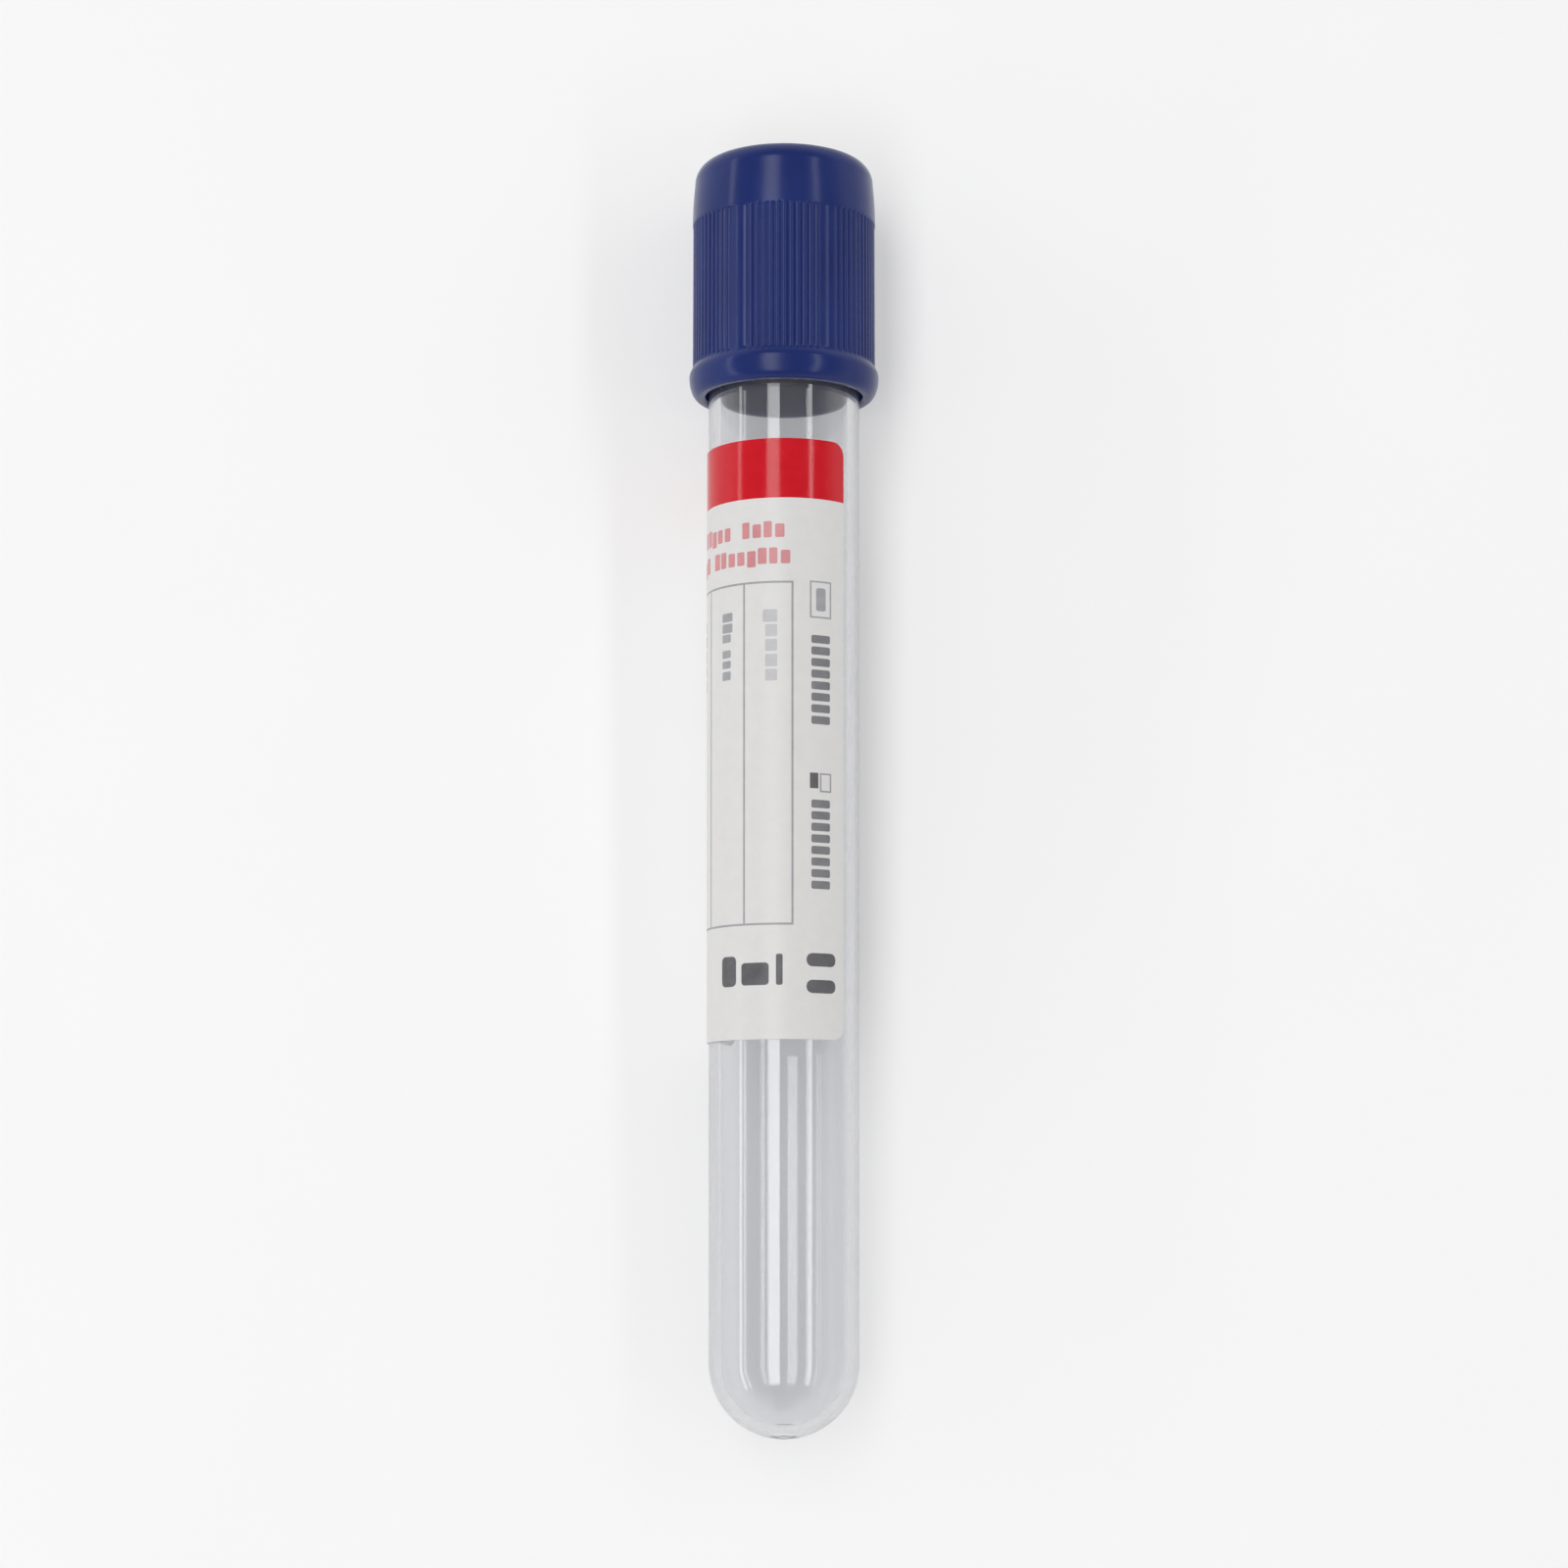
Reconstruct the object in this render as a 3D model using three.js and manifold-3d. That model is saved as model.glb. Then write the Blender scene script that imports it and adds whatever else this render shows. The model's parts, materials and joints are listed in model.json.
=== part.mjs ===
// Evacuated blood collection tube, 13 x 100 mm, with a pull-off safety cap, lying on its side.
//
// Four pieces: a clear plastic tube with a round bottom, a rubber stopper plugged into its mouth,
// a moulded cap that carries the stopper and skirts the tube, and a wrapped paper label.
//
// Every piece is modelled about the tube's own axis, with the round bottom end at z = 0 and the
// mouth upwards. The assembly is then laid down: its axis points along +Y, the label faces +Z,
// and the cap's collar and the foot of the tube both touch the plane Z = 0.

import * as THREE from 'three';
import { mergeVertices } from 'three/addons/utils/BufferGeometryUtils.js';
import Module from 'manifold-3d';

// ---------------------------------------------------------------------------------------------
// Driving dimensions, in millimetres, with angles in degrees.
// ---------------------------------------------------------------------------------------------

// Flats around every turned piece. The flats lie on the true round surface, and one faces the bench.
const roundSides = 24;

// The free space between two pieces that rest on each other.
const seatGap = 0.3;

const tube = {
  length: 100,
  mouthDiameter: 13.0,
  taper: 0.5, // how much narrower the tube is where its wall meets the round bottom
  wall: 1.0,
  lipRound: 0.3,
};

const stopper = {
  headThickness: 3.5,
  headSideClearance: 0.15, // inside the cap
  plugLength: 9.5, // below the tube's mouth
  sealClearance: 0.08, // between the two sealing bands and the bore
  bandHeight: 1.8,
  waistDepth: 0.3, // how far the waist between the bands is set in
  edgeChamfer: 0.4,
  cavityDiameter: 6.0, // the hollow underside
  cavityDepth: 7.5,
  dimpleDiameter: 4.4, // where a needle goes in
  dimpleDepth: 0.8,
};

const cap = {
  skirtOverlap: 12.0, // how far the skirt reaches down past the tube's mouth
  skirtClearance: 0.2,
  skirtWall: 1.15, // out to the smooth lands
  ledgeWidth: 0.35, // the bead under the stopper's head
  rimChamfer: 0.3,
  rimInset: 0.85, // the rounded underside of the collar
  rimRise: 1.8,
  collarProud: 0.3, // past the lands
  collarHeight: 3.3,
  gripPanels: 6,
  landAngle: 12, // each smooth land between two ribbed panels
  ribsPerPanel: 11,
  ribHeight: 0.13,
  crownHeight: 5.6, // the smooth part above the ribs
  crownProud: 0.05, // the crown's lower edge, over the lands
  crownTaper: 0.2,
  crownRound: 1.8,
  shell: 1.1,
  wellDepth: 5.0, // from the cap's top down to the stopper
  portDiameter: 6.4, // the mouth of that well, where a needle goes in
  portWall: 1.0,
  portChamfer: 0.3,
};

const label = {
  height: 50.4,
  width: 20.5, // around the tube; the rest of the wall is the clear window
  topBelowCap: 5.0,
  centreAngle: -40.7, // from the upward-facing line of the tube, towards +X
  thickness: 0.1,
  gap: 0.05, // the adhesive's thickness
  cornerRadius: 1.2,
};

// ---------------------------------------------------------------------------------------------
// Sizes that follow from the driving ones.
// ---------------------------------------------------------------------------------------------

const mouthRadius = tube.mouthDiameter / 2;
const footRadius = mouthRadius - tube.taper / 2;
const rimHeight = tube.length - cap.skirtOverlap;
const headBottom = tube.length + seatGap;
const headTop = headBottom + stopper.headThickness;
const capHeight = headTop + cap.wellDepth - rimHeight;
const skirtBore = mouthRadius + cap.skirtClearance;
const headBore = skirtBore + cap.ledgeWidth;
const landRadius = skirtBore + cap.skirtWall;
const ribRootRadius = landRadius - cap.ribHeight;
const cornerFactor = 1 / Math.cos(Math.PI / roundSides);
const gripTop = capHeight - cap.crownHeight;

const radians = THREE.MathUtils.degToRad;

// The tube's outer radius at a height above the centre of its round bottom.
function tubeRadiusAt(z) {
  return THREE.MathUtils.mapLinear(z, footRadius, tube.length, footRadius, mouthRadius);
}

// The bore's radius at that height.
function boreRadiusAt(z) {
  return tubeRadiusAt(z) - tube.wall;
}

// ---------------------------------------------------------------------------------------------
// Profiles and solids.
// ---------------------------------------------------------------------------------------------

const wasm = await Module();
wasm.setup();

const weldDistance = 1e-4;

// [radius, height] points on an elliptic arc; 0 degrees points outwards and 90 degrees up.
function arc(centreRadius, centreHeight, reachOut, reachUp, from, to, steps) {
  const points = [];
  for (let i = 0; i <= steps; i += 1) {
    const angle = radians(THREE.MathUtils.lerp(from, to, i / steps));
    points.push([
      centreRadius + reachOut * Math.cos(angle),
      centreHeight + reachUp * Math.sin(angle),
    ]);
  }
  return points;
}

// A closed three.js geometry as a solid that can be joined and cut.
function solidFrom(geometry) {
  const bare = geometry.clone();
  bare.deleteAttribute('normal');
  bare.deleteAttribute('uv');
  const welded = mergeVertices(bare, weldDistance);
  const corners = welded.index.array;
  const triangles = [];
  for (let i = 0; i < corners.length; i += 3) {
    const [a, b, c] = corners.subarray(i, i + 3);
    // A triangle at a pole of a turned piece has two corners in one place.
    if (a !== b && b !== c && c !== a) {
      triangles.push(a, b, c);
    }
  }
  return new wasm.Manifold(new wasm.Mesh({
    numProp: 3,
    vertProperties: welded.attributes.position.array,
    triVerts: Uint32Array.from(triangles),
  }));
}

function geometryFrom(solid) {
  const mesh = solid.getMesh();
  const geometry = new THREE.BufferGeometry();
  geometry.setAttribute('position', new THREE.BufferAttribute(mesh.vertProperties, mesh.numProp));
  geometry.setIndex(new THREE.BufferAttribute(mesh.triVerts, 1));
  geometry.computeVertexNormals();
  return geometry;
}

// A solid of revolution about +Z, with the profile along the middle of each flat. The profile keeps
// the material on its left.
function turned(profile) {
  const points = profile.map(([radius, height]) => new THREE.Vector2(radius * cornerFactor, height));
  const geometry = new THREE.LatheGeometry(points, roundSides, Math.PI / roundSides);
  geometry.rotateX(Math.PI / 2);
  return solidFrom(geometry);
}

// A flat outline raised from one height to another.
function raised(shape, bottom, top) {
  const geometry = new THREE.ExtrudeGeometry(shape, { depth: top - bottom, bevelEnabled: false });
  geometry.translate(0, 0, bottom);
  return solidFrom(geometry);
}

// A point on a circle; the angle runs from the label's side of the tube, -Y, towards +X.
function around(radius, angle) {
  return new THREE.Vector2(radius * Math.sin(radians(angle)), -radius * Math.cos(radians(angle)));
}

// ---------------------------------------------------------------------------------------------
// The pieces.
// ---------------------------------------------------------------------------------------------

const bottomSteps = 6;
const lipSteps = 2;

function makeTube() {
  const boreFoot = footRadius - tube.wall;
  const outerLip = mouthRadius - tube.lipRound;
  const innerLip = boreRadiusAt(tube.length) + tube.lipRound;
  const lipHeight = tube.length - tube.lipRound;
  return turned([
    ...arc(0, footRadius, footRadius, footRadius, -90, 0, bottomSteps),
    ...arc(outerLip, lipHeight, tube.lipRound, tube.lipRound, 0, 90, lipSteps),
    ...arc(innerLip, lipHeight, tube.lipRound, tube.lipRound, 90, 180, lipSteps),
    ...arc(0, footRadius, boreFoot, boreFoot, 0, -90, bottomSteps),
  ]);
}

function makeStopper() {
  const plugEnd = tube.length - stopper.plugLength;
  const bandRadiusAt = (z) => boreRadiusAt(z) - stopper.sealClearance;
  const waistRadiusAt = (z) => bandRadiusAt(z) - stopper.waistDepth;
  const headRadius = headBore - stopper.headSideClearance;
  const lowerBandTop = plugEnd + stopper.edgeChamfer + stopper.bandHeight;
  const upperBandTop = tube.length - tube.lipRound;
  const upperBandBottom = upperBandTop - stopper.bandHeight;
  const cavityRadius = stopper.cavityDiameter / 2;
  const cavityTop = plugEnd + stopper.cavityDepth;
  const dimpleRadius = stopper.dimpleDiameter / 2;
  const slope = stopper.waistDepth;
  return turned([
    [0, cavityTop],
    ...arc(0, cavityTop - cavityRadius / 2, cavityRadius, cavityRadius / 2, 60, 0, 3),
    [cavityRadius, plugEnd],
    [bandRadiusAt(plugEnd) - stopper.edgeChamfer, plugEnd],
    [bandRadiusAt(plugEnd), plugEnd + stopper.edgeChamfer],
    [bandRadiusAt(lowerBandTop), lowerBandTop],
    [waistRadiusAt(lowerBandTop), lowerBandTop + slope],
    [waistRadiusAt(upperBandBottom), upperBandBottom - slope],
    [bandRadiusAt(upperBandBottom), upperBandBottom],
    [bandRadiusAt(upperBandTop), upperBandTop],
    [bandRadiusAt(upperBandTop), headBottom],
    [headRadius - stopper.edgeChamfer, headBottom],
    [headRadius, headBottom + stopper.edgeChamfer],
    [headRadius, headTop - stopper.edgeChamfer],
    [headRadius - stopper.edgeChamfer, headTop],
    [dimpleRadius, headTop],
    [dimpleRadius - stopper.dimpleDepth, headTop - stopper.dimpleDepth],
    [0, headTop - stopper.dimpleDepth],
  ]);
}

// The ribbed band of the cap, as a flat ring: narrow V ribs in panels, with smooth lands between.
function gripOutline(coreRadius) {
  const panelPitch = 360 / cap.gripPanels;
  const ribPitch = (panelPitch - cap.landAngle) / cap.ribsPerPanel;
  const outline = [];
  for (let panel = 0; panel < cap.gripPanels; panel += 1) {
    const landCentre = (panel + 0.5) * panelPitch;
    const panelStart = landCentre + cap.landAngle / 2;
    for (const side of [-0.5, 0, 0.5]) {
      outline.push(around(landRadius, landCentre + side * cap.landAngle));
    }
    for (let rib = 0; rib < cap.ribsPerPanel; rib += 1) {
      outline.push(around(ribRootRadius, panelStart + rib * ribPitch));
      outline.push(around(landRadius, panelStart + (rib + 0.5) * ribPitch));
    }
    outline.push(around(ribRootRadius, panelStart + cap.ribsPerPanel * ribPitch));
  }
  const core = [];
  for (let side = 0; side < roundSides; side += 1) {
    core.push(around(coreRadius, (side + 0.5) * 360 / roundSides));
  }
  const ring = new THREE.Shape(outline);
  ring.holes.push(new THREE.Path(core));
  return ring;
}

// The cap's section, in heights above its rim.
function capProfile() {
  const coreRadius = (ribRootRadius - cap.crownProud) / cornerFactor;
  const collarRadius = landRadius + cap.collarProud;
  const crownRadius = landRadius + cap.crownProud;
  const crownTopRadius = crownRadius - cap.crownTaper;
  const portRadius = cap.portDiameter / 2;
  const portOuter = portRadius + cap.portWall;
  const outerRound = Math.min(cap.crownRound, crownTopRadius - portOuter);
  const innerRound = outerRound - cap.shell;
  const roundBottom = capHeight - outerRound;
  const roundCentre = crownTopRadius - outerRound;
  const headCeiling = headTop + seatGap - rimHeight;
  const ceiling = capHeight - cap.shell;
  const mouth = tube.length - rimHeight;
  const collar = [];
  const collarSteps = 5;
  for (let i = 1; i <= collarSteps; i += 1) {
    const share = i / collarSteps;
    collar.push([
      THREE.MathUtils.lerp(collarRadius, coreRadius, (1 - Math.cos(Math.PI * share)) / 2),
      THREE.MathUtils.lerp(cap.rimRise, cap.collarHeight, share),
    ]);
  }
  return [
    [skirtBore, cap.rimChamfer],
    [skirtBore + cap.rimChamfer, 0],
    ...arc(collarRadius - cap.rimInset, cap.rimRise, cap.rimInset, cap.rimRise, -90, 0, 4),
    ...collar,
    [coreRadius, gripTop],
    [crownRadius, gripTop],
    ...arc(roundCentre, roundBottom, outerRound, outerRound, 0, 90, 6),
    [portRadius + cap.portChamfer, capHeight],
    [portRadius, capHeight - cap.portChamfer],
    [portRadius, headCeiling],
    [portOuter, headCeiling],
    [portOuter, ceiling],
    ...arc(roundCentre, roundBottom, innerRound, innerRound, 90, 0, 4),
    [roundCentre + innerRound, headCeiling],
    [headBore, headCeiling],
    [headBore, mouth],
    [skirtBore, mouth],
    [skirtBore, cap.rimChamfer],
  ];
}

function makeCap() {
  const profile = capProfile().map(([radius, height]) => [radius, rimHeight + height]);
  const wallMiddle = (ribRootRadius + headBore) / 2;
  const bandBottom = rimHeight + (cap.rimRise + cap.collarHeight) / 2;
  const bandTop = rimHeight + gripTop + cap.crownProud;
  return turned(profile).add(raised(gripOutline(wallMiddle), bandBottom, bandTop));
}

// A cutter that rounds one corner of the label. Across and up are 1 or -1 and point off its edges.
function cornerCutter(angle, height, across, up) {
  const radius = label.cornerRadius;
  const over = label.cornerRadius / 2;
  const steps = 4;
  const outline = [[over, -radius], [over, over], [-radius, over]];
  outline.push(...arc(-radius, -radius, radius, radius, 90, 0, steps));
  const shape = new THREE.Shape(outline.map(([u, v]) => new THREE.Vector2(u * across, v * up)));
  const radial = around(1, angle);
  const outwards = new THREE.Vector3(radial.x, radial.y, 0);
  const upwards = new THREE.Vector3(0, 0, 1);
  const alongWall = new THREE.Vector3().crossVectors(upwards, outwards);
  const reach = 2 * label.cornerRadius;
  const geometry = new THREE.ExtrudeGeometry(shape, { depth: reach, bevelEnabled: false });
  const place = new THREE.Matrix4().makeBasis(alongWall, upwards, outwards);
  place.setPosition(outwards.multiplyScalar(mouthRadius - reach / 2).setZ(height));
  return solidFrom(geometry.applyMatrix4(place));
}

function makeLabel() {
  const top = rimHeight - label.topBelowCap;
  const bottom = top - label.height;
  const insideAt = (z) => tubeRadiusAt(z) + label.gap;
  const outsideAt = (z) => insideAt(z) + label.thickness;
  const halfAngle = THREE.MathUtils.radToDeg(label.width / mouthRadius) / 2;
  const left = label.centreAngle - halfAngle;
  const right = label.centreAngle + halfAngle;
  const sleeve = turned([
    [insideAt(bottom), bottom],
    [outsideAt(bottom), bottom],
    [outsideAt(top), top],
    [insideAt(top), top],
    [insideAt(bottom), bottom],
  ]);
  const windowShape = new THREE.Shape([new THREE.Vector2()]);
  const windowSteps = 12;
  for (let i = 0; i <= windowSteps; i += 1) {
    const angle = THREE.MathUtils.lerp(right, left + 360, i / windowSteps);
    const point = around(tube.mouthDiameter, angle);
    windowShape.lineTo(point.x, point.y);
  }
  return sleeve
    .subtract(raised(windowShape, bottom - seatGap, top + seatGap))
    .subtract(cornerCutter(left, top, -1, 1))
    .subtract(cornerCutter(left, bottom, -1, -1))
    .subtract(cornerCutter(right, top, 1, 1))
    .subtract(cornerCutter(right, bottom, 1, -1));
}

// ---------------------------------------------------------------------------------------------
// The assembly, laid on its side.
// ---------------------------------------------------------------------------------------------

const finishes = {
  clearPlastic: { color: 0xe9edee, roughness: 0.06, metalness: 0, transparent: true, opacity: 0.35 },
  capPlastic: { color: 0x26336b, roughness: 0.35, metalness: 0 },
  rubber: { color: 0x2b2c2e, roughness: 0.75, metalness: 0 },
  paper: { color: 0xe4e3e1, roughness: 0.6, metalness: 0 },
};

function piece(name, solid, finish) {
  const mesh = new THREE.Mesh(geometryFrom(solid), new THREE.MeshStandardMaterial(finish));
  mesh.name = name;
  return mesh;
}

// The angle between the tube's axis and the bench, with the collar and the foot both touching it.
function restAngle() {
  const slopes = capProfile().map(([radius, height]) => (
    Math.atan2(radius - footRadius, rimHeight + height - footRadius)
  ));
  return Math.max(...slopes);
}

const vessel = new THREE.Group().add(
  piece('tube', makeTube(), finishes.clearPlastic),
  piece('label', makeLabel(), finishes.paper),
);

const closure = new THREE.Group().add(
  piece('cap', makeCap(), finishes.capPlastic),
  piece('stopper', makeStopper(), finishes.rubber),
);

const lying = new THREE.Group().add(vessel, closure);
lying.rotation.x = restAngle() - Math.PI / 2;

const box = new THREE.Box3().setFromObject(lying, true);
const middle = box.getCenter(new THREE.Vector3());
lying.position.set(-middle.x, -middle.y, -box.min.z);

const collectionTube = new THREE.Group().add(lying);

export default collectionTube;
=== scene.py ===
import json
import math
import random

import bmesh
import bpy
import numpy as np
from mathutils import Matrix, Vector


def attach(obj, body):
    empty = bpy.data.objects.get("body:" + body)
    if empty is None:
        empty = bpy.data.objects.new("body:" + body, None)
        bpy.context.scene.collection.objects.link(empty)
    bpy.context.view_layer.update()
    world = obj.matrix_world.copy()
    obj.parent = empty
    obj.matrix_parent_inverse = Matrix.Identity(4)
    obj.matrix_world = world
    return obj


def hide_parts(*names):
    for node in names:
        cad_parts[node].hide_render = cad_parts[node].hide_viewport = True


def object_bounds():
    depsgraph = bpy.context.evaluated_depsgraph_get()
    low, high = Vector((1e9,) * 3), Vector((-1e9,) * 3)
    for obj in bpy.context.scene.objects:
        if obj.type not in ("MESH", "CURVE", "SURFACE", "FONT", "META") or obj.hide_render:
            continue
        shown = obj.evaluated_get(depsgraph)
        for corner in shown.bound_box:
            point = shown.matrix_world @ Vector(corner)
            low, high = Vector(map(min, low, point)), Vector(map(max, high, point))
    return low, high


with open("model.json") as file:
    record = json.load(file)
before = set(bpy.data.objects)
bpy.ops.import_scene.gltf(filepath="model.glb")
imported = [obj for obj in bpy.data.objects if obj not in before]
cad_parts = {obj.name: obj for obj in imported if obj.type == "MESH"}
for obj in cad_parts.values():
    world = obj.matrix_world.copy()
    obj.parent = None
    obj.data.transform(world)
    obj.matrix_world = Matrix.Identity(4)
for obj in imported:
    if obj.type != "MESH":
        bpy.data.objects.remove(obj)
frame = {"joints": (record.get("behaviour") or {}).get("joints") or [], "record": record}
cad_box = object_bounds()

# -----------------------------------------------------------------------------------------------
# The tube's own frame. Lengths below are in millimetres and angles in degrees, as in the CAD
# source: heights run along the tube from its round end, and angles run round it from the upward
# line towards +X. `place` lays such points down in the row frame, in metres.
# -----------------------------------------------------------------------------------------------

MM = 0.001

TUBE_LENGTH = 100.0
MOUTH_RADIUS = 6.5
FOOT_RADIUS = 6.25
WALL = 1.0
LIP_ROUND = 0.3

RIM = 88.0  # the height of the cap's rim; the cap's own heights count from it
CAP_HEIGHT = 20.8
SKIRT_BORE = 6.7
SKIRT_LEAD = 0.3  # the round of the skirt's inner edge
HEAD_BORE = 7.05
HEAD_ROOM = 0.3  # over the stopper's head
LAND_RADIUS = 7.85
RIB_ROOT = 7.72
COLLAR_RADIUS = 8.15
RIM_INSET = 0.85
RIM_RISE = 1.8
COLLAR_HEIGHT = 3.3
COLLAR_TUCK = 0.15  # how far under the ribs' roots the collar's flare ends
FLARE_SOFT = 0.05  # the softness of the line where the ribs run out on the flare
GRIP_TOP = 15.2
GRIP_STEP = 0.24  # the height over which the ribs run out under the crown
CROWN_RADIUS = 7.9
CROWN_TOP_RADIUS = 7.7
CROWN_ROUND = 1.8
SHELL = 1.1
PORT_RADIUS = 3.2
PORT_WALL = 1.0
PORT_ROUND = 0.3
PANELS = 6
LAND_ANGLE = 12.0
RIBS = 11
RIB_FULLNESS = 0.85  # the power of the sine that a rib's section follows; 1 is a plain sine
LAND_RISE = 0.4  # the share of a land that climbs from the last rib's root

HEAD_BOTTOM = 100.3
HEAD_TOP = 103.8
HEAD_GAP = 0.15
PLUG_END = 90.5
PLUG_GAP = 0.08
PLUG_BAND_TOP = 2.2  # the height of the plug's lower sealing band
PLUG_SHOULDER = 97.45  # where the groove over that band ends
PLUG_GROOVE = 0.3  # the groove's depth
STOPPER_EDGE = 0.4

LABEL_TOP = 83.0
LABEL_HEIGHT = 50.4
LABEL_WIDTH = 20.5
LABEL_CENTRE = -40.7
LABEL_GAP = 0.05
LABEL_THICKNESS = 0.1
LABEL_CORNER = 1.2
BAND = 5.1  # the height of the red band

axis = Vector(frame["joints"][0]["axis"]).normalized()
across = Vector((1, 0, 0))
upwards = across.cross(axis)
cap_top = Vector(frame["record"]["mounts"][0]["pos_m"])
cap_top.x = 0
foot = cap_top - axis * (RIM + CAP_HEIGHT) * MM
basis = np.array([across, upwards, axis])


def place(points):
    """Points (across, up, along) in the tube's frame, as points in the row frame."""
    return np.array(foot) + MM * np.asarray(points, float) @ basis


def at(radius, angle, height):
    """The tube-frame point at this radius, angle and height."""
    turn = math.radians(angle)
    return (radius * math.sin(turn), radius * math.cos(turn), height)


# -----------------------------------------------------------------------------------------------
# Camera
# -----------------------------------------------------------------------------------------------

LENS, SENSOR = 78.0, 36.0
NEAREST = 0.01

# As in the photograph, the eye is a little below the label, 285 mm from the tube, and looks up
# into the cap's rim. The curves of the label's edges and of the rim say where it is.
EYE_DISTANCE, EYE_LEVEL = 285.0, 15.0

eye = Vector(place([at(EYE_DISTANCE, 0, EYE_LEVEL)])[0])
target = (cad_box[0] + cad_box[1]) / 2
camera = bpy.data.objects.new("camera", bpy.data.cameras.new("camera"))
bpy.context.scene.collection.objects.link(camera)
camera.location = eye
camera.rotation_euler = (math.atan2(target.y - eye.y, eye.z - target.z), 0, 0)
camera.data.lens = LENS
camera.data.sensor_width = SENSOR
camera.data.clip_start = NEAREST
bpy.context.scene.camera = camera
bpy.context.scene.view_settings.view_transform = "Standard"

# -----------------------------------------------------------------------------------------------
# Materials
# -----------------------------------------------------------------------------------------------


def linear(red, green, blue):
    """A colour given in sRGB, 0 to 255, as linear RGBA."""
    def one(value):
        value /= 255
        return value / 12.92 if value <= 0.04045 else ((value + 0.055) / 1.055) ** 2.4
    return (one(red), one(green), one(blue), 1.0)


def node(tree, kind, inputs=None, **settings):
    """A new node, with its inputs set, or linked where the value is another node's socket."""
    made = tree.nodes.new(kind)
    for name, value in settings.items():
        setattr(made, name, value)
    for key, value in (inputs or {}).items():
        socket = made.inputs[key]
        if isinstance(value, bpy.types.NodeSocket):
            tree.links.new(value, socket)
        else:
            socket.default_value = value
    return made


def noise(tree, scale, detail=3.0, roughness=0.5, stretch=(1, 1, 1)):
    """Noise in the piece's own coordinates, scale to the metre."""
    coordinates = node(tree, "ShaderNodeTexCoord").outputs["Object"]
    mapping = node(tree, "ShaderNodeMapping", {"Vector": coordinates, "Scale": stretch})
    return node(tree, "ShaderNodeTexNoise", {
        "Vector": mapping.outputs["Vector"], "Scale": scale,
        "Detail": detail, "Roughness": roughness,
    }).outputs["Fac"]


def ramp(tree, factor, low, high, colour_low, colour_high):
    """A blend of two colours as the factor goes from low to high."""
    made = node(tree, "ShaderNodeValToRGB", {"Fac": factor})
    first, last = made.color_ramp.elements
    first.position, last.position = low, high
    first.color, last.color = colour_low, colour_high
    return made.outputs["Color"]


def remap(tree, value, low, high, to_low, to_high):
    return node(tree, "ShaderNodeMapRange", {
        "Value": value, "From Min": low, "From Max": high, "To Min": to_low, "To Max": to_high,
    }).outputs["Result"]


def bump(tree, height, distance, strength=1.0, normal=None):
    inputs = {"Height": height, "Distance": distance, "Strength": strength}
    if normal is not None:
        inputs["Normal"] = normal
    return node(tree, "ShaderNodeBump", inputs).outputs["Normal"]


def material(name):
    made = bpy.data.materials.new(name)
    made.use_nodes = True
    tree = made.node_tree
    return made, tree, tree.nodes["Principled BSDF"]


def wire(tree, shader, **inputs):
    """Sets or links the shader's sockets, with _ for a space in a socket's name."""
    for name, value in inputs.items():
        socket = shader.inputs[name.replace("_", " ")]
        if isinstance(value, bpy.types.NodeSocket):
            tree.links.new(value, socket)
        else:
            socket.default_value = value


def cap_plastic():
    """Satin polyethylene: a faint cloud in the colour, a fine skin and uneven flow marks."""
    made, tree, shader = material("cap_plastic")
    cloud = noise(tree, 160, 3)
    grain = noise(tree, 2600, 2)
    flow = noise(tree, 420, 3, stretch=(1, 0.25, 1))
    wire(
        tree, shader,
        Base_Color=ramp(tree, cloud, 0.3, 0.7, linear(23, 39, 98), linear(28, 45, 107)),
        Roughness=remap(tree, flow, 0.3, 0.7, 0.19, 0.27),
        Specular_IOR_Level=0.25,
        Normal=bump(tree, grain, 0.00001, 0.25),
    )
    return made


def clear_plastic():
    """Clear polyester with faint drawn streaks, a little haze and a grey tint in its depth."""
    made, tree, shader = material("tube_plastic")
    streaks = noise(tree, 500, 2, stretch=(1, 0.04, 1))
    wire(
        tree, shader,
        Base_Color=ramp(tree, streaks, 0.35, 0.65, (0.94, 0.94, 0.95, 1), (0.97, 0.97, 0.98, 1)),
        Roughness=remap(tree, streaks, 0.35, 0.65, 0.01, 0.03),
        IOR=1.57,
        Transmission_Weight=0.97,
    )
    output = tree.nodes["Material Output"]
    tint = node(tree, "ShaderNodeVolumeAbsorption", {
        "Color": (0.80, 0.805, 0.815, 1), "Density": 460,
    })
    tree.links.new(tint.outputs["Volume"], output.inputs["Volume"])
    # the lamps' light goes straight through, a little dimmed
    path = node(tree, "ShaderNodeLightPath").outputs
    straight = node(tree, "ShaderNodeMath", {
        0: path["Is Shadow Ray"], 1: path["Is Diffuse Ray"],
    }, operation="MAXIMUM")
    clear = node(tree, "ShaderNodeBsdfTransparent", {"Color": (0.92, 0.92, 0.925, 1)})
    mix = node(tree, "ShaderNodeMixShader", {
        0: straight.outputs[0], 1: shader.outputs["BSDF"], 2: clear.outputs["BSDF"],
    })
    tree.links.new(mix.outputs["Shader"], output.inputs["Surface"])
    return made


def stopper_rubber():
    """Matt dark rubber with a dusty bloom."""
    made, tree, shader = material("stopper_black")
    dust = noise(tree, 1800, 4, 0.7)
    cloud = noise(tree, 260, 3)
    wire(
        tree, shader,
        Base_Color=ramp(tree, dust, 0.35, 0.75, linear(56, 57, 59), linear(74, 75, 77)),
        Roughness=remap(tree, cloud, 0.3, 0.7, 0.6, 0.78),
        Normal=bump(tree, dust, 0.00002, 0.6),
    )
    return made


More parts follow.
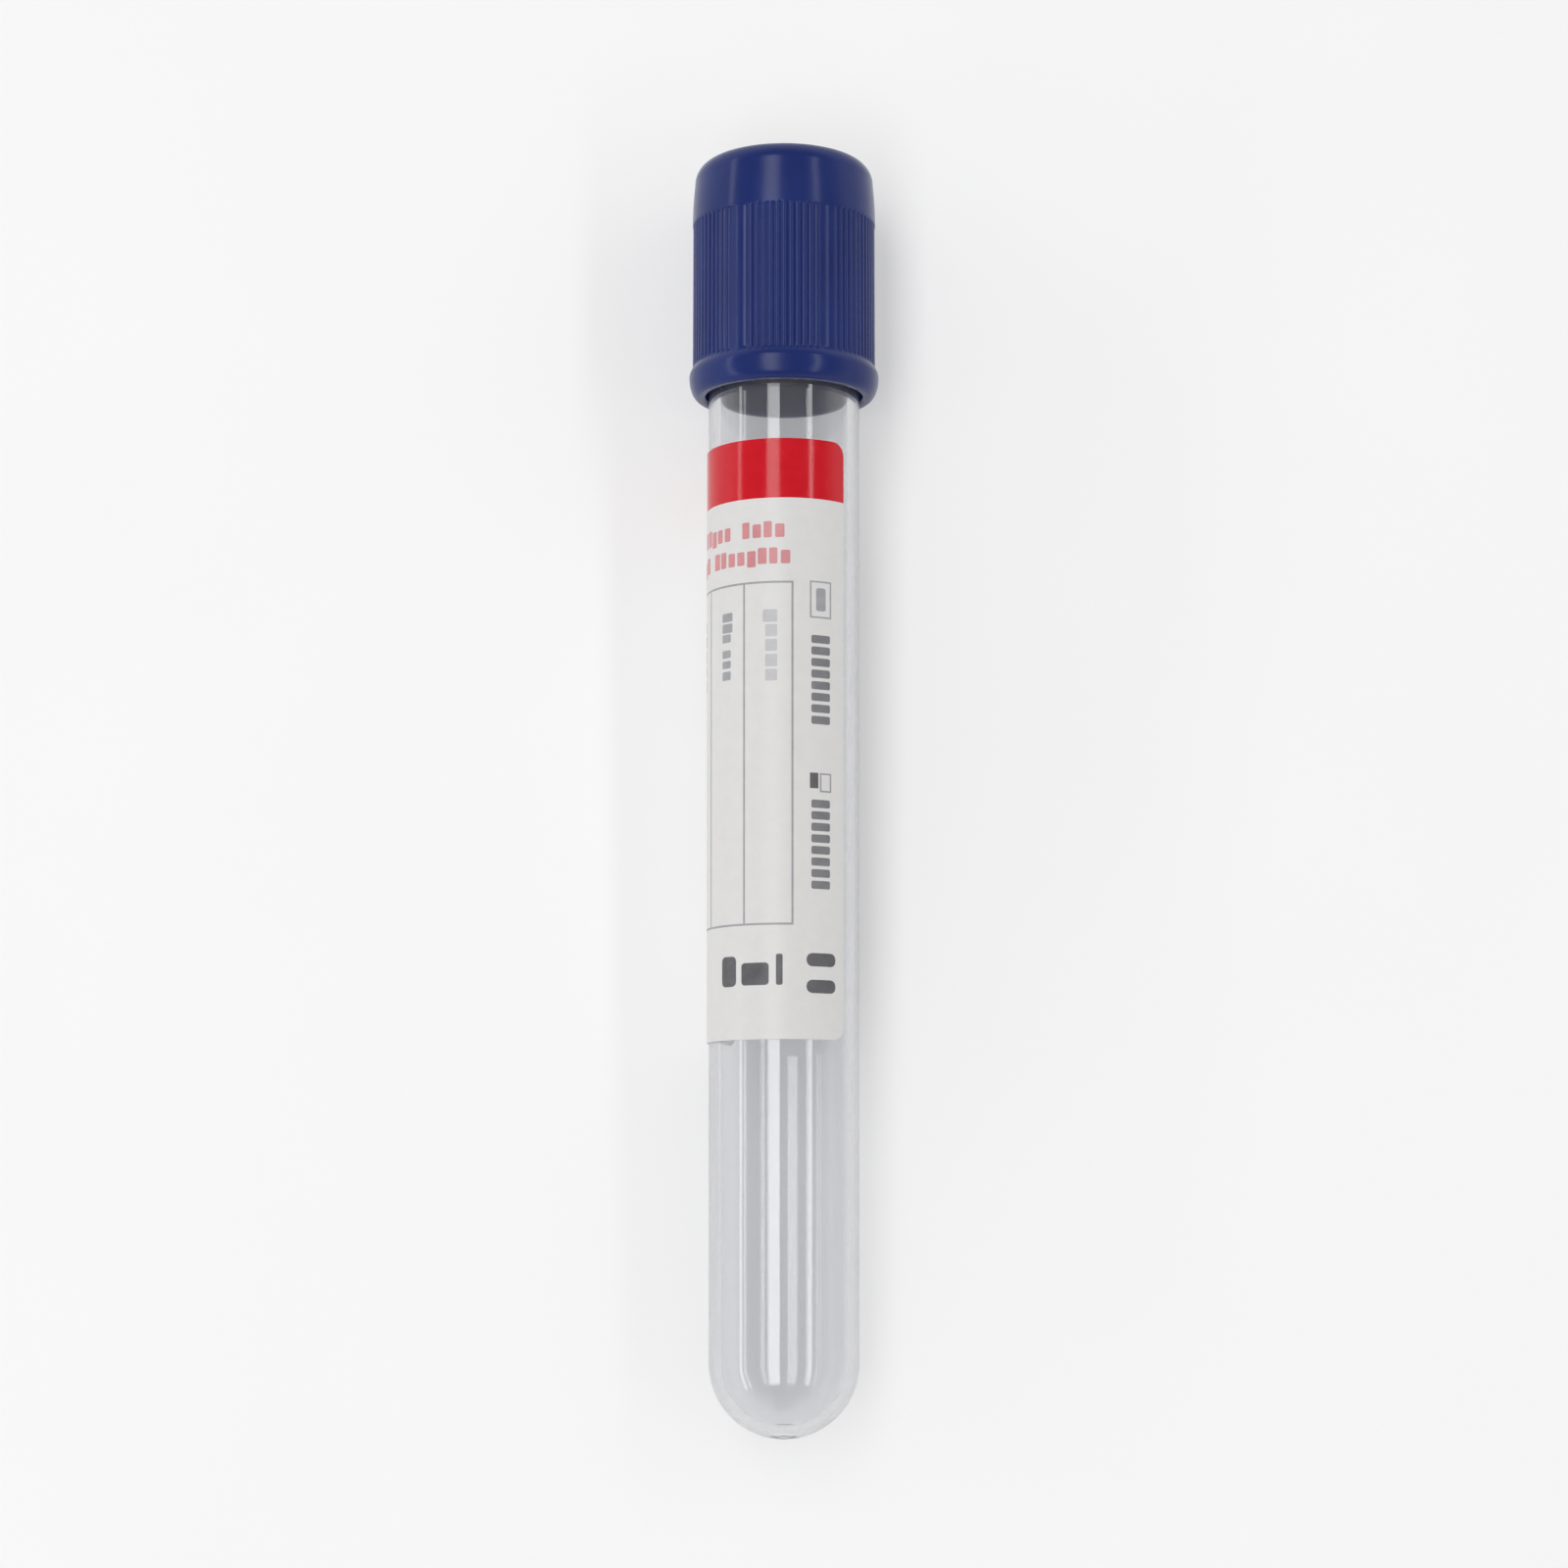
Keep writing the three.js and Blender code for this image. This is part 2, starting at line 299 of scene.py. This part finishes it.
def paper(name, dark, light, rough=(0.36, 0.48), glow=0.0, shine=0.5):
    """Coated label stock: a faint mottle, a fine fibre texture and an uneven sheen. Glow is the
    share of the light that comes through the sheet, and shine is the specular level."""
    made, tree, shader = material(name)
    mottle = noise(tree, 900, 4, 0.6)
    fibre = noise(tree, 5200, 3, 0.6, stretch=(1, 0.35, 1))
    cockle = noise(tree, 130, 2)
    surface = bump(tree, fibre, 0.000008, 0.45)
    wire(
        tree, shader,
        Base_Color=ramp(tree, mottle, 0.3, 0.7, linear(*dark), linear(*light)),
        Roughness=remap(tree, mottle, 0.3, 0.7, *rough),
        Specular_IOR_Level=shine,
        Normal=bump(tree, cockle, 0.00008, 0.1, surface),
        Subsurface_Weight=glow,
        Subsurface_Radius=(1.0, 1.0, 1.0),
        Subsurface_Scale=0.0004,
    )
    return made


# -----------------------------------------------------------------------------------------------
# Meshes
# -----------------------------------------------------------------------------------------------


def mesh_piece(name, points, faces, materials, face_materials=None, sharp=32):
    """A closed smooth-shaded piece, with its faces turned outwards and its hard edges kept."""
    data = bpy.data.meshes.new(name)
    data.from_pydata(place(points).tolist(), [], faces)
    for made in materials:
        data.materials.append(made)
    if face_materials is not None:
        data.polygons.foreach_set("material_index", face_materials)
    shape = bmesh.new()
    shape.from_mesh(data)
    bmesh.ops.recalc_face_normals(shape, faces=shape.faces)
    shape.to_mesh(data)
    shape.free()
    data.shade_smooth()
    data.set_sharp_from_angle(angle=math.radians(sharp))
    made = bpy.data.objects.new(name, data)
    bpy.context.scene.collection.objects.link(made)
    return made


def arc(centre, height, out, up, start, end, steps):
    """(height, radius) pairs on an elliptic arc. 0 degrees points outwards and 90 along the
    tube."""
    turns = np.radians(np.linspace(start, end, steps + 1))
    return [(height + up * math.sin(t), max(centre + out * math.cos(t), 0.0)) for t in turns]


def revolved(name, rings, angles, made, closed=False, sharp=32):
    """Rings round the tube's axis, joined in order. Each is (height, radius), with one radius or
    one for each angle, and a radius of 0 is a pole."""
    turns = np.radians(angles)
    side = len(angles)
    points, starts, faces = [], [], []
    for height, radius in rings:
        pole = np.isscalar(radius) and radius < 1e-6
        starts.append((len(points), pole))
        if pole:
            points.append((0.0, 0.0, height))
        else:
            radii = np.broadcast_to(radius, side)
            ring = [radii * np.sin(turns), radii * np.cos(turns), np.full(side, height)]
            points += np.stack(ring, 1).tolist()
    pairs = list(zip(starts, starts[1:]))
    if closed:
        pairs.append((starts[-1], starts[0]))
    for (a, a_pole), (b, b_pole) in pairs:
        for i in range(side):
            j = (i + 1) % side
            if a_pole:
                faces.append((a, b + i, b + j))
            elif b_pole:
                faces.append((a + i, b, a + j))
            else:
                faces.append((a + i, b + i, b + j, a + j))
    return mesh_piece(name, points, faces, [made], sharp=sharp)


def round_angles(sides):
    return np.arange(sides) * 360 / sides


def tube_radius(height):
    """The tube's outer radius, which its taper sets."""
    share = (height - FOOT_RADIUS) / (TUBE_LENGTH - FOOT_RADIUS)
    return FOOT_RADIUS + share * (MOUTH_RADIUS - FOOT_RADIUS)


def make_tube():
    sides, wall_rings = 192, 40
    bore_foot = FOOT_RADIUS - WALL
    lip = TUBE_LENGTH - LIP_ROUND
    heights = np.linspace(FOOT_RADIUS, lip, wall_rings)
    rings = [
        # the gate mark at the middle of the round end: a low nub in a shallow dimple
        (0.02, 0.0), (0.02, 0.25), (0.05, 0.36), (0.14, 0.42), (0.15, 0.6), (0.12, 0.78),
        (0.085, 0.95),
        *arc(0, FOOT_RADIUS, FOOT_RADIUS, FOOT_RADIUS, -80, 0, 26),
        *[(z, tube_radius(z)) for z in heights[1:-1]],
        *arc(MOUTH_RADIUS - LIP_ROUND, lip, LIP_ROUND, LIP_ROUND, 0, 90, 6),
        *arc(MOUTH_RADIUS - WALL + LIP_ROUND, lip, LIP_ROUND, LIP_ROUND, 90, 180, 6),
        *[(z, tube_radius(z) - WALL) for z in heights[-2:0:-1]],
        *arc(0, FOOT_RADIUS, bore_foot, bore_foot, 0, -90, 28),
    ]
    return revolved("clear_tube", rings, round_angles(sides), clear_plastic())


def grip_angles():
    """Angles round the cap, dense on its ribs, and how far up its rib each one is, from 0 to 1."""
    per_rib, per_land = 8, 6
    panel = 360 / PANELS
    pitch = (panel - LAND_ANGLE) / RIBS
    angles, rise = [], []
    for index in range(PANELS):
        land_end = (index + 0.5) * panel + LAND_ANGLE / 2
        for rib in range(RIBS):
            for step in range(per_rib):
                angles.append(land_end + (rib + step / per_rib) * pitch)
                rise.append(math.sin(math.pi * step / per_rib) ** RIB_FULLNESS)
        for step in range(per_land):
            angles.append(land_end + RIBS * pitch + step / per_land * LAND_ANGLE)
            rise.append(min(1.0, step / per_land / LAND_RISE))
    return np.array(angles), np.array(rise)


def make_cap():
    angles, rise = grip_angles()
    grip = RIB_ROOT + (LAND_RADIUS - RIB_ROOT) * rise
    core = RIB_ROOT - COLLAR_TUCK
    # the rim, from the skirt's bore outwards, and the collar's flare up to the ribs
    rings = arc(SKIRT_BORE + SKIRT_LEAD, SKIRT_LEAD, SKIRT_LEAD, SKIRT_LEAD, 180, 270, 5)
    rings += arc(COLLAR_RADIUS - RIM_INSET, RIM_RISE, RIM_INSET, RIM_RISE, -90, 0, 12)
    for share in np.linspace(0, 1, 15)[1:]:
        height = RIM_RISE + share * (COLLAR_HEIGHT - RIM_RISE)
        radius = COLLAR_RADIUS + (core - COLLAR_RADIUS) * (1 - math.cos(math.pi * share)) / 2
        apart = np.sqrt((radius - grip) ** 2 + FLARE_SOFT ** 2)
        rings.append((height, (radius + grip + apart) / 2))
    # the ribs, and the step where they run out under the crown
    rings += [(height, grip) for height in (3.6, 5.0, 7.0, 9.0, 11.0, 13.0, 14.4, 14.9)]
    for share in np.linspace(0, 1, 7):
        height = GRIP_TOP - GRIP_STEP / 2 + GRIP_STEP * share
        ease = math.sin(math.pi * share / 2)
        rings.append((height, grip + (CROWN_RADIUS - grip) * ease))
    # the crown and the mouth of the needle port
    crown_bottom = CAP_HEIGHT - CROWN_ROUND
    crown_centre = CROWN_TOP_RADIUS - CROWN_ROUND
    for height in np.linspace(GRIP_TOP + 0.4, crown_bottom, 6)[:-1]:
        share = (height - GRIP_TOP) / (crown_bottom - GRIP_TOP)
        rings.append((height, CROWN_RADIUS + share ** 2 * (CROWN_TOP_RADIUS - CROWN_RADIUS)))
    rings += arc(crown_centre, crown_bottom, CROWN_ROUND, CROWN_ROUND, 0, 90, 18)
    mouth_centre, mouth_bottom = PORT_RADIUS + PORT_ROUND, CAP_HEIGHT - PORT_ROUND
    rings += arc(mouth_centre, mouth_bottom, PORT_ROUND, PORT_ROUND, 90, 180, 6)
    # the inside: the port's tube, the crown's shell and the two bores
    ceiling = HEAD_TOP + HEAD_ROOM - RIM
    inner_round = CROWN_ROUND - SHELL
    port_outer = PORT_RADIUS + PORT_WALL
    rings += [(ceiling, PORT_RADIUS), (ceiling, port_outer), (CAP_HEIGHT - SHELL, port_outer)]
    rings += arc(crown_centre, crown_bottom, inner_round, inner_round, 90, 0, 8)
    rings += [
        (ceiling, crown_centre + inner_round), (ceiling, HEAD_BORE),
        (TUBE_LENGTH - RIM, HEAD_BORE), (TUBE_LENGTH - RIM, SKIRT_BORE),
    ]
    rings = [(RIM + height, radius) for height, radius in rings]
    return revolved("safety_cap", rings, angles, cap_plastic(), closed=True)


def make_stopper():
    sides = 128
    plug_top = TUBE_LENGTH - LIP_ROUND
    low, high = [tube_radius(z) - WALL - PLUG_GAP for z in (PLUG_END, plug_top)]
    head = HEAD_BORE - HEAD_GAP
    edge = STOPPER_EDGE
    hollow, hollow_height, dome, hollow_edge = 3.0, 6.0, 1.5, 0.25
    band = PLUG_END + PLUG_BAND_TOP
    groove_ease = ((0.0, 0.0), (0.15, 0.08), (0.3, 0.24), (0.45, PLUG_GROOVE))
    shoulder = PLUG_SHOULDER + groove_ease[-1][0]
    rings = [
        # the hollow underside, and the plug with the groove between its two sealing bands
        *arc(0, PLUG_END + hollow_height, hollow, dome, 90, 0, 8),
        *arc(hollow + hollow_edge, PLUG_END + hollow_edge, hollow_edge, hollow_edge, 180, 270, 4),
        *arc(low - edge, PLUG_END + edge, edge, edge, -90, 0, 6),
        *[(band + along, low - depth) for along, depth in groove_ease],
        *[(shoulder - along, high - depth) for along, depth in reversed(groove_ease)],
        (plug_top, high), (HEAD_BOTTOM, high),
        # the head, and the dimple that the needle goes through
        *arc(head - edge, HEAD_BOTTOM + edge, edge, edge, -90, 0, 6),
        *arc(head - edge, HEAD_TOP - edge, edge, edge, 0, 90, 6),
        (HEAD_TOP, 2.4), (HEAD_TOP - 0.04, 2.2), (HEAD_TOP - 0.4, 1.75), (HEAD_TOP - 0.7, 1.3),
        (HEAD_TOP - 0.8, 0.8), (HEAD_TOP - 0.8, 0.0),
    ]
    return revolved("rubber_stopper", rings, round_angles(sides), stopper_rubber())


# -----------------------------------------------------------------------------------------------
# The label. A place on it is u, millimetres round from its left edge, and v, down from its top.
# -----------------------------------------------------------------------------------------------

LABEL_LEFT = LABEL_CENTRE - math.degrees(LABEL_WIDTH / MOUTH_RADIUS) / 2


def on_label(u, v, rise=LABEL_THICKNESS):
    """The point at (u, v), at a height over the back of the paper."""
    height = LABEL_TOP - v
    angle = LABEL_LEFT + math.degrees(u / MOUTH_RADIUS)
    return at(tube_radius(height) + LABEL_GAP + rise, angle, height)


def make_label():
    columns, corner_rows = 96, 9
    corner = LABEL_CORNER * (1 - np.cos(np.linspace(0, math.pi / 2, corner_rows)))
    rows = sorted({
        *np.round(corner, 4), *np.round(LABEL_HEIGHT - corner, 4),
        *np.arange(2.0, LABEL_HEIGHT - 1, 1.0), BAND,
    })
    points, faces, kinds = [], [], []
    for rise in (0, LABEL_THICKNESS):
        for v in rows:
            from_end = min(v, LABEL_HEIGHT - v, LABEL_CORNER)
            inset = LABEL_CORNER - math.sqrt(LABEL_CORNER ** 2 - (LABEL_CORNER - from_end) ** 2)
            for u in np.linspace(inset, LABEL_WIDTH - inset, columns + 1):
                points.append(on_label(u, v, rise))
    line = columns + 1
    layer = line * len(rows)
    # the back and the front, in four papers: plain or band, on the front or on the back
    for side in (0, 1):
        for r in range(len(rows) - 1):
            kind = (2 if side == 0 else 0) + (1 if rows[r + 1] <= BAND + 1e-6 else 0)
            for c in range(columns):
                a = side * layer + r * line + c
                faces.append((a, a + 1, a + 1 + line, a + line))
                kinds.append(kind)
    # the paper's four edges, each a strip from the back to the front
    border = [*range(columns), *[columns + r * line for r in range(len(rows) - 1)]]
    steps = [*[1] * columns, *[line] * (len(rows) - 1)]
    last_row = (len(rows) - 1) * line
    border += [*[last_row + c for c in range(columns)], *[r * line for r in range(len(rows) - 1)]]
    steps += steps
    for a, step in zip(border, steps):
        faces.append((a, a + step, a + step + layer, a + layer))
        kinds.append(0)
    papers = [
        paper("label_white", (217, 216, 215), (221, 220, 219)),
        paper("label_band", (199, 12, 29), (206, 18, 35), (0.1, 0.15), shine=0.36),
        # Painted light on the backs: they are painted lighter than the front paper to lift the
        # shade inside the tube, and under the band the back is painted pink for the light that
        # comes through the red print. The glow is real light through the sheet.
        paper("label_back_painted_light", (226, 226, 224), (232, 232, 230), (0.5, 0.6), glow=1.0),
        paper("label_band_back_painted_light", (226, 190, 190), (232, 198, 198), (0.5, 0.6), glow=1.0),
    ]
    return mesh_piece("paper_label", points, faces, papers, kinds, sharp=50)


INK_SINK, INK_RISE = 0.004, 0.010  # a print mark's faces, under and over the paper's face
MARK_STEP = 0.3  # the longest flat in a mark that curves round the tube
SEAM = 0.005  # between two marks that meet, so that each stays a closed skin of its own


class Print:
    """Plain marks printed on the label, each a closed skin that follows the paper's curve."""

    def __init__(self):
        self.points, self.faces, self.kinds = [], [], []

    def block(self, u0, u1, v0, v1, ink, round_by=0.0):
        """A rectangle, with rounded corners where round_by says so."""
        ease = min(round_by, (u1 - u0) * 0.45, (v1 - v0) * 0.45)
        count = max(2, math.ceil((u1 - u0) / MARK_STEP) + 1)
        stops = list(np.linspace(u0 + ease, u1 - ease, count))
        insets = [0.0] * len(stops)
        if ease > 0:
            turns = np.radians([0, 30, 60])
            ends = [(ease * (1 - math.cos(t)), ease * (1 - math.sin(t))) for t in turns]
            stops = [u0 + off for off, _ in ends] + stops + [u1 - off for off, _ in reversed(ends)]
            insets = [i for _, i in ends] + insets + [i for _, i in reversed(ends)]
        first = len(self.points)
        for u, inset in zip(stops, insets):
            for v in (v0 + inset, v1 - inset):
                for rise in (-INK_SINK, INK_RISE):
                    self.points.append(on_label(u, v, LABEL_THICKNESS + rise))
        for i in range(len(stops) - 1):
            a, b = first + 4 * i, first + 4 * i + 4
            # corner order in each column: v0 low, v0 high, v1 low, v1 high
            self.faces += [
                (a + 1, b + 1, b + 3, a + 3), (a, a + 2, b + 2, b),
                (a, b, b + 1, a + 1), (a + 2, a + 3, b + 3, b + 2),
            ]
        last = first + 4 * (len(stops) - 1)
        self.faces.append((first, first + 1, first + 3, first + 2))
        self.faces.append((last, last + 2, last + 3, last + 1))
        self.kinds += [ink] * (4 * (len(stops) - 1) + 2)

    def box(self, u0, u1, v0, v1, line, ink):
        """The outline of a rectangle."""
        self.block(u0, u1, v0, v0 + line, ink)
        self.block(u0, u1, v1 - line, v1, ink)
        self.block(u0, u0 + line, v0 + line + SEAM, v1 - line - SEAM, ink)
        self.block(u1 - line, u1, v0 + line + SEAM, v1 - line - SEAM, ink)

    def words(self, start, middle, counts, pitch, height, ink, rng, down=False, gap=1.0):
        """A line of plain blocks in place of words, of so many blocks each. It runs across the
        label, or down it as on a printed form that is read from the side. Some blocks stand a
        little over the line or hang under it."""
        run = start
        for count in counts:
            for _ in range(count):
                width = pitch * rng.uniform(0.7, 0.86)
                low, high = -height * 0.36, height * 0.36
                tall = rng.random()
                if tall < 0.3:
                    high = height * 0.5
                elif tall < 0.4:
                    low = -height * 0.5
                if down:
                    self.block(middle + low, middle + high, run, run + width, ink, 0.12)
                else:
                    self.block(run, run + width, middle - high, middle - low, ink, 0.12)
                run += pitch
            run += pitch * gap

    def stamp(self, start, middle, count, pitch, height):
        """A row of equal blocks down the label."""
        low, high = middle - height / 2, middle + height / 2
        for index in range(count):
            run = start + index * pitch
            self.block(low, high, run, run + pitch * 0.7, STAMP_INK, 0.15)


RED_INK, GREY_INK, BLACK_INK, STAMP_INK, FAINT_INK = range(5)


def make_print():
    rng = random.Random(7)
    marks = Print()
    # the small square mark in the band
    marks.box(1.9, 3.15, 1.3, 2.45, 0.36, BLACK_INK)
    marks.block(2.42, 2.63, 1.82, 1.93, BLACK_INK)
    # the two lines of the title
    marks.words(5.4, 7.9, (5, 4), 0.97, 1.6, RED_INK, rng)
    marks.words(4.9, 10.15, (2, 8), 0.97, 1.6, RED_INK, rng)
    # the form's three ruled columns, each with its field's name
    left, right, top, bottom, line = 2.65, 15.65, 12.2, 41.0, 0.17
    marks.box(left, right, top, bottom, line, GREY_INK)
    for u in (7.0, 11.4):
        marks.block(u - line / 2, u + line / 2, top + line + SEAM, bottom - line - SEAM, GREY_INK)
    for u, counts, pitch, ink in (
        (4.7, (5,), 1.26, GREY_INK), (9.5, (3, 3), 0.9, GREY_INK), (13.8, (5,), 1.26, FAINT_INK),
    ):
        marks.words(14.6, u, counts, pitch, 1.4, ink, rng, down=True, gap=0.5)
    # the stamped column: a boxed symbol and a row of blocks, twice
    code = 18.05
    marks.box(code - 1.0, code + 1.0, 12.1, 15.25, 0.14, GREY_INK)
    marks.block(code - 0.45, code + 0.45, 12.7, 14.65, GREY_INK, 0.2)
    marks.stamp(16.7, code, 8, 0.975, 1.75)
    marks.block(code - 1.0, code - 0.25, 28.3, 29.6, BLACK_INK)
    marks.box(code - 0.1, code + 1.0, 28.3, 29.9, 0.14, GREY_INK)
    marks.stamp(30.55, code, 8, 0.965, 1.75)
    # under the form: three bold blocks, a pair of rounded bars and two small squares
    marks.block(8.95, 10.6, 43.5, 46.0, BLACK_INK, 0.4)
    marks.block(11.15, 13.6, 44.1, 45.95, BLACK_INK, 0.3)
    marks.block(14.2, 14.75, 43.4, 45.95, BLACK_INK, 0.15)
    for v in (43.3, 45.5):
        marks.block(16.75, 19.5, v, v + 1.1, BLACK_INK, 0.5)
    marks.box(2.4, 4.1, 43.9, 45.9, 0.22, GREY_INK)
    marks.block(2.9, 3.6, 44.5, 45.3, GREY_INK, 0.1)
    marks.box(2.4, 4.1, 46.6, 49.0, 0.14, GREY_INK)
    marks.block(2.9, 3.6, 47.1, 48.5, GREY_INK, 0.1)
    inks = [
        paper("ink_red", (203, 131, 135), (212, 144, 147), (0.34, 0.44)),
        paper("ink_grey", (152, 152, 156), (166, 166, 170), (0.34, 0.44)),
        paper("ink_black", (80, 80, 84), (96, 96, 100), (0.34, 0.44)),
        paper("ink_stamp", (113, 113, 117), (127, 127, 131), (0.34, 0.44)),
        paper("ink_faint", (184, 184, 186), (194, 194, 196), (0.34, 0.44)),
    ]
    return mesh_piece("label_print", marks.points, marks.faces, inks, marks.kinds, sharp=50)


# -----------------------------------------------------------------------------------------------
# The pieces, on the CAD's bodies
# -----------------------------------------------------------------------------------------------

tube = make_tube()
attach(tube, "vessel")
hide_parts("tube")

label = make_label()
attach(label, "vessel")
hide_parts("label")

label_print = make_print()
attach(label_print, "vessel")

cap = make_cap()
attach(cap, "closure")
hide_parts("cap")

stopper = make_stopper()
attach(stopper, "closure")
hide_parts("stopper")

# -----------------------------------------------------------------------------------------------
# The stage: a white floor, a soft sky and three soft boxes
# -----------------------------------------------------------------------------------------------

FLOOR_HALF = 3.0
# The floor's own white is this share of what is seen near the object, and all of it far away.
NEAR, FAR, NEAR_WHITE = 0.1, 0.5, 0.35
LAMP_LENGTH = 0.9
# name, place across, height, width, power
LAMPS = (
    ("key", -0.17, 0.60, 0.20, 2.2),
    ("fill", 0.42, 0.50, 0.06, 0.85),
    ("edge", -0.55, 0.22, 0.05, 0.5),
)


def make_floor():
    """A matt white floor. Part of its white is a glow that only the camera, reflections and
    clear plastic see, so that the background is white and the object keeps its shadow."""
    made, tree, shader = material("floor")
    speck = noise(tree, 40, 2)
    wire(
        tree, shader,
        Base_Color=ramp(tree, speck, 0.3, 0.7, (0.94, 0.94, 0.94, 1), (0.95, 0.95, 0.95, 1)),
        Roughness=0.9,
        Specular_IOR_Level=0.1,
    )
    spot = node(tree, "ShaderNodeTexCoord").outputs["Object"]
    distance = node(tree, "ShaderNodeVectorMath", {0: spot}, operation="LENGTH").outputs["Value"]
    lit = remap(tree, distance, NEAR, FAR, NEAR_WHITE, 1.0)
    path = node(tree, "ShaderNodeLightPath").outputs
    seen = node(tree, "ShaderNodeMath", {
        0: path["Is Camera Ray"], 1: path["Is Glossy Ray"],
    }, operation="MAXIMUM")
    seen = node(tree, "ShaderNodeMath", {
        0: seen.outputs[0], 1: path["Is Transmission Ray"],
    }, operation="MAXIMUM")
    share = node(tree, "ShaderNodeMath", {0: seen.outputs[0], 1: lit}, operation="MULTIPLY")
    white = node(tree, "ShaderNodeEmission", {"Color": (1, 1, 1, 1), "Strength": 1.0})
    mix = node(tree, "ShaderNodeMixShader", {
        0: share.outputs[0], 1: shader.outputs["BSDF"], 2: white.outputs["Emission"],
    })
    tree.links.new(mix.outputs["Shader"], tree.nodes["Material Output"].inputs["Surface"])
    data = bpy.data.meshes.new("floor")
    h = FLOOR_HALF
    data.from_pydata([(-h, -h, 0), (h, -h, 0), (h, h, 0), (-h, h, 0)], [], [(0, 1, 2, 3)])
    data.materials.append(made)
    floor = bpy.data.objects.new("floor", data)
    floor.location.z = cad_box[0].z
    bpy.context.scene.collection.objects.link(floor)


def make_world():
    """A sky that is white at the horizon and grey above."""
    world = bpy.data.worlds.new("sky")
    bpy.context.scene.world = world
    world.use_nodes = True
    tree = world.node_tree
    direction = node(tree, "ShaderNodeTexCoord").outputs["Generated"]
    height = node(tree, "ShaderNodeSeparateXYZ", {"Vector": direction}).outputs["Z"]
    colour = ramp(tree, height, 0.12, 0.5, (1, 1, 1, 1), (0.30, 0.30, 0.30, 1))
    tree.links.new(colour, tree.nodes["Background"].inputs["Color"])
    tree.nodes["Background"].inputs["Strength"].default_value = 1.0


def soft_box(name, side, height, width, power):
    """A long lamp that runs along Y, as the tube does, and faces it from this side and height."""
    lamp = bpy.data.lights.new(name, "AREA")
    lamp.shape = "RECTANGLE"
    lamp.size, lamp.size_y = width, LAMP_LENGTH
    lamp.energy = power
    made = bpy.data.objects.new(name, lamp)
    made.location = (side, target.y, height)
    made.rotation_euler = (0, math.atan2(side, height), 0)
    bpy.context.scene.collection.objects.link(made)


make_floor()
make_world()
for lamp_settings in LAMPS:
    soft_box(*lamp_settings)
